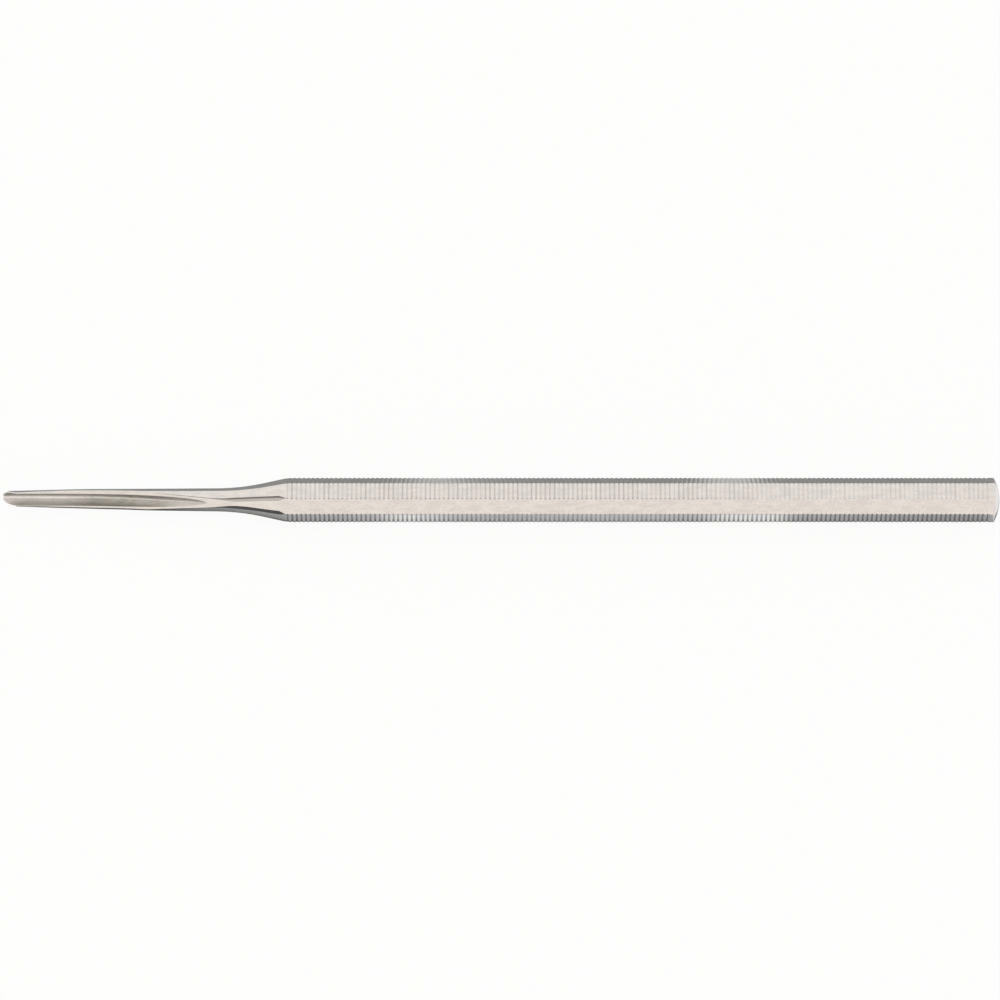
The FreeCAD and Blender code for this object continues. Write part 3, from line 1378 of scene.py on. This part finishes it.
@dataclass
class Studio:
    """Pale floor, soft surroundings, glowing sheets that paint reflections into the steel, and the
    camera.

    The levels of the surroundings go from the front over the top to the back, and those of the
    glowing sheets from the tip to the head.
    """

    gouge_length: float
    picture_width: float = 0.1462
    distance: float = 1.2
    elevation: float = 63.4
    sensor: float = 36.0
    clip_start: float = 0.01
    floor_size: float = 3.0
    floor_tone: float = 0.92
    floor_white: float = 0.93
    front_warmth: Colour = (1.0, 0.91, 0.845, 1.0)
    back_warmth: Colour = (1.0, 0.965, 0.93, 1.0)
    panels: Levels = (
        (0.00, 0.50),
        (0.05, 0.80),
        (0.09, 1.01),
        (0.20, 1.01),
        (0.30, 0.92),
        (0.45, 0.90),
        (0.58, 0.95),
        (0.65, 1.0),
        (0.85, 0.92),
        (1.00, 0.40),
    )
    side_panel_place: tuple[float, float, float] = (-0.7, -0.35, 0.06)
    side_panel_size: float = 0.5
    side_panel_tone: float = 1.05
    # Height and reach of the glowing sheets that paint reflections into the steel.
    card_height: float = 0.0001
    card_start: float = -40.0
    card_depth: float = 90.0
    behind_y: float = 6.0
    behind_past_head: float = 4.0
    below_past_head: float = 1.5
    beside_before_head: float = 0.5
    below_edge: Outline = (
        (22.0, -2.3),
        (25.0, -2.5),
        (30.0, -2.62),
        (34.9, -2.86),
        (41.0, -3.95),
        (44.0, -3.8),
    )
    beside_edge: Outline = ((22.0, -3.2), (30.0, -5.0), (42.0, -7.2))
    # Painted reflection behind the gouge, with two painted patches of light.
    behind_levels: Levels = (
        (0.39, 0.30),
        (0.44, 0.62),
        (0.47, 0.38),
        (0.53, 0.31),
        (0.69, 0.30),
        (0.72, 0.62),
        (0.745, 0.64),
        (0.77, 0.30),
    )
    # Painted shadow under the gouge, seen only in the steel.
    below_levels: Levels = ((0.985, 0.07), (0.995, 0.35))
    # Painted reflection beside the gouge, with two painted patches of light.
    beside_levels: Levels = (
        (0.15, 0.08),
        (0.19, 0.28),
        (0.24, 0.42),
        (0.32, 0.52),
        (0.375, 0.62),
        (0.4, 1.0),
        (0.42, 0.92),
        (0.46, 0.64),
        (0.5, 0.57),
        (0.6, 0.62),
        (0.695, 0.62),
        (0.73, 1.0),
        (0.775, 1.0),
        (0.795, 0.52),
        (0.88, 0.46),
        (0.95, 0.41),
    )
    # Dark painted reflection in front of the gouge.
    in_front_levels: Levels = ((0.0, 0.10),)

    def surroundings(self) -> None:
        """Broad soft panels in front, overhead and behind, as one gradient."""
        world = bpy.data.worlds.new("soft_studio")
        bpy.context.scene.world = world
        world.use_nodes = True
        graph = Graph(world.node_tree)
        direction = graph.node("ShaderNodeTexCoord").outputs["Generated"]
        split = graph.node("ShaderNodeSeparateXYZ", Vector=direction)
        forward = -graph.value(split.outputs["Y"])
        up = graph.value(split.outputs["Z"])
        turn = up.math("ARCTAN2", forward) / math.pi
        levels = graph.node("ShaderNodeValToRGB", {"stops": self.panels}, Fac=turn)
        settings = {"data_type": "RGBA", "blend_type": "MULTIPLY"}
        tint = graph.blend(turn, self.front_warmth, self.back_warmth)
        warm = graph.node("ShaderNodeMix", settings, s0=1.0, s6=levels.outputs["Color"], s7=tint)
        light = graph.node("ShaderNodeBackground", Color=warm.outputs[2], Strength=1.0)
        graph.node("ShaderNodeOutputWorld", Surface=light.outputs[0])

    def sheet(self, name: str, outline: Outline, height: float) -> bpy.types.Object:
        """Adds a level sheet to the studio.

        Args:
            name: Name of the object.
            outline: Its corners as x and y, in metres.
            height: Its height.

        Returns:
            The new sheet.
        """
        mesh = bpy.data.meshes.new(name)
        mesh.from_pydata([(x, y, height) for x, y in outline], [], [tuple(range(len(outline)))])
        sheet = linked(name, mesh)
        return sheet

    def floor(self) -> None:
        """Pale floor that shows white and keeps the soft shadow of the gouge."""
        half = self.floor_size / 2
        corners = ((-half, -half), (half, -half), (half, half), (-half, half))
        floor = self.sheet("floor", corners, 0.0)
        material, graph = fresh_material("pale_floor")
        path = graph.node("ShaderNodeLightPath")
        seen = graph.value(path.outputs["Is Camera Ray"])
        seen = seen.highest(graph.value(path.outputs["Is Glossy Ray"]))
        seen = seen.highest(graph.value(path.outputs["Is Transmission Ray"]))
        share = seen * self.floor_white
        tone = (self.floor_tone, self.floor_tone, self.floor_tone, 1.0)
        matt = graph.node("ShaderNodeBsdfDiffuse", Color=tone)
        white = graph.node("ShaderNodeEmission", Color=(1.0, 1.0, 1.0, 1.0), Strength=1.0)
        mixed = graph.node("ShaderNodeMixShader", s0=share, s1=matt.outputs[0], s2=white.outputs[0])
        graph.node("ShaderNodeOutputMaterial", Surface=mixed.outputs[0])
        floor.data.materials.append(material)

    def cards(self) -> tuple[PaintedReflection, ...]:
        """Painted reflections round the gouge: their inner edges follow its outline from the tip to the
        head.

        Returns:
            The sheets behind, below, beside and in front of the gouge; the one below is a painted
            shadow under it, and those behind and beside hold painted patches of light.
        """
        start = self.card_start
        past_head = self.gouge_length + self.behind_past_head
        under_head = self.gouge_length + self.below_past_head
        end = self.gouge_length - self.beside_before_head
        tip = (start, self.below_edge[0][1])
        below_y = self.below_edge[-1][1]
        beside = (*self.beside_edge, (end, self.beside_edge[-1][1]))
        return (
            PaintedReflection(
                "card_behind",
                ((start, self.card_depth), (past_head, self.card_depth)),
                ((start, self.behind_y), (past_head, self.behind_y)),
                self.behind_levels,
            ),
            PaintedReflection(
                "card_below",
                ((start, self.behind_y), (under_head, self.behind_y)),
                (tip, *self.below_edge, (under_head, below_y)),
                self.below_levels,
            ),
            PaintedReflection(
                "card_beside",
                (*self.below_edge, (end, below_y)),
                beside,
                self.beside_levels,
            ),
            PaintedReflection(
                "card_in_front",
                (tip, self.below_edge[0], *beside),
                ((start, -self.card_depth), (end, -self.card_depth)),
                self.in_front_levels,
            ),
        )

    def lay(self, reflection: PaintedReflection) -> None:
        """Lays a glowing sheet on the table, seen by the steel alone as a painted reflection.

        Args:
            reflection: The card.
        """
        half = self.gouge_length / 2
        edges = reflection.far_edge + reflection.near_edge[::-1]
        outline = tuple(((place - half) * MM, y * MM) for place, y in edges)
        sheet = self.sheet(reflection.name, outline, self.card_height)
        # Only glossy rays see the sheet, so it paints a reflection into the steel and lights nothing
        # else.
        sheet.visible_camera = False
        sheet.visible_diffuse = False
        sheet.visible_shadow = False
        sheet.visible_transmission = False
        material, graph = fresh_material(reflection.name)
        place = graph.node("ShaderNodeTexCoord").outputs["Object"]
        along = graph.value(graph.node("ShaderNodeSeparateXYZ", Vector=place).outputs["X"])
        share = along / (self.gouge_length * MM) + 0.5
        tones = graph.node("ShaderNodeValToRGB", {"stops": reflection.levels}, Fac=share)
        glow = graph.node("ShaderNodeEmission", Color=tones.outputs["Color"], Strength=1.0)
        graph.node("ShaderNodeOutputMaterial", Surface=glow.outputs[0])
        sheet.data.materials.append(material)

    def side_panel(self) -> None:
        """Soft panel beyond the cutting tip, which lights the ground edge."""
        data = bpy.data.lights.new("side_panel", "AREA")
        data.shape = "SQUARE"
        data.size = self.side_panel_size
        data.energy = self.side_panel_tone * math.pi * self.side_panel_size**2
        panel = linked("side_panel", data)
        panel.location = self.side_panel_place
        panel.rotation_euler = Vector(self.side_panel_place).to_track_quat("Z", "Y").to_euler()

    def camera(self, target: Vector) -> None:
        """Long lens at the photograph's angle.

        Args:
            target: Point in the middle of the picture.
        """
        data = bpy.data.cameras.new("camera")
        data.sensor_width = self.sensor
        data.lens = self.sensor * self.distance / self.picture_width
        data.clip_start = self.clip_start
        camera = linked("camera", data)
        tilt = math.radians(self.elevation)
        back = Vector((0.0, -math.cos(tilt), math.sin(tilt)))
        camera.location = target + back * self.distance
        camera.rotation_euler = back.to_track_quat("Z", "Y").to_euler()
        bpy.context.scene.camera = camera
        bpy.context.scene.view_settings.view_transform = "Standard"

    def set_up(self, target: Vector) -> None:
        """Makes the whole studio round the gouge.

        Args:
            target: Point in the middle of the picture.
        """
        self.surroundings()
        self.floor()
        for reflection in self.cards():
            self.lay(reflection)
        self.side_panel()
        self.camera(target)
        log.info("studio: floor, surroundings, cards, side panel and camera")


def clear_start_up() -> None:
    """Empties the scene that Blender starts with."""
    for thing in list(bpy.data.objects):
        bpy.data.objects.remove(thing)


def main() -> None:
    """Builds the gouge and the studio in order."""
    logging.basicConfig(level=logging.INFO, format="%(message)s")
    clear_start_up()
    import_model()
    low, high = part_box(NODE)
    gouge = Gouge(Bar(length=(high.x - low.x) / MM, across_flats=(high.z - low.z) / MM))
    body = gouge.build()
    steels = {Finish.SATIN: SatinSteel(), Finish.HONED: HonedSteelWithGlint()}
    for finish in Finish:
        body.data.materials.append(steels[finish].material())
    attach(body, BODY)
    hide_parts(NODE)
    log.info("gouge body: %d points, %d faces", len(body.data.vertices), len(body.data.polygons))
    Studio(gouge.bar.length).set_up((low + high) / 2)


if __name__ == "__main__":
    main()
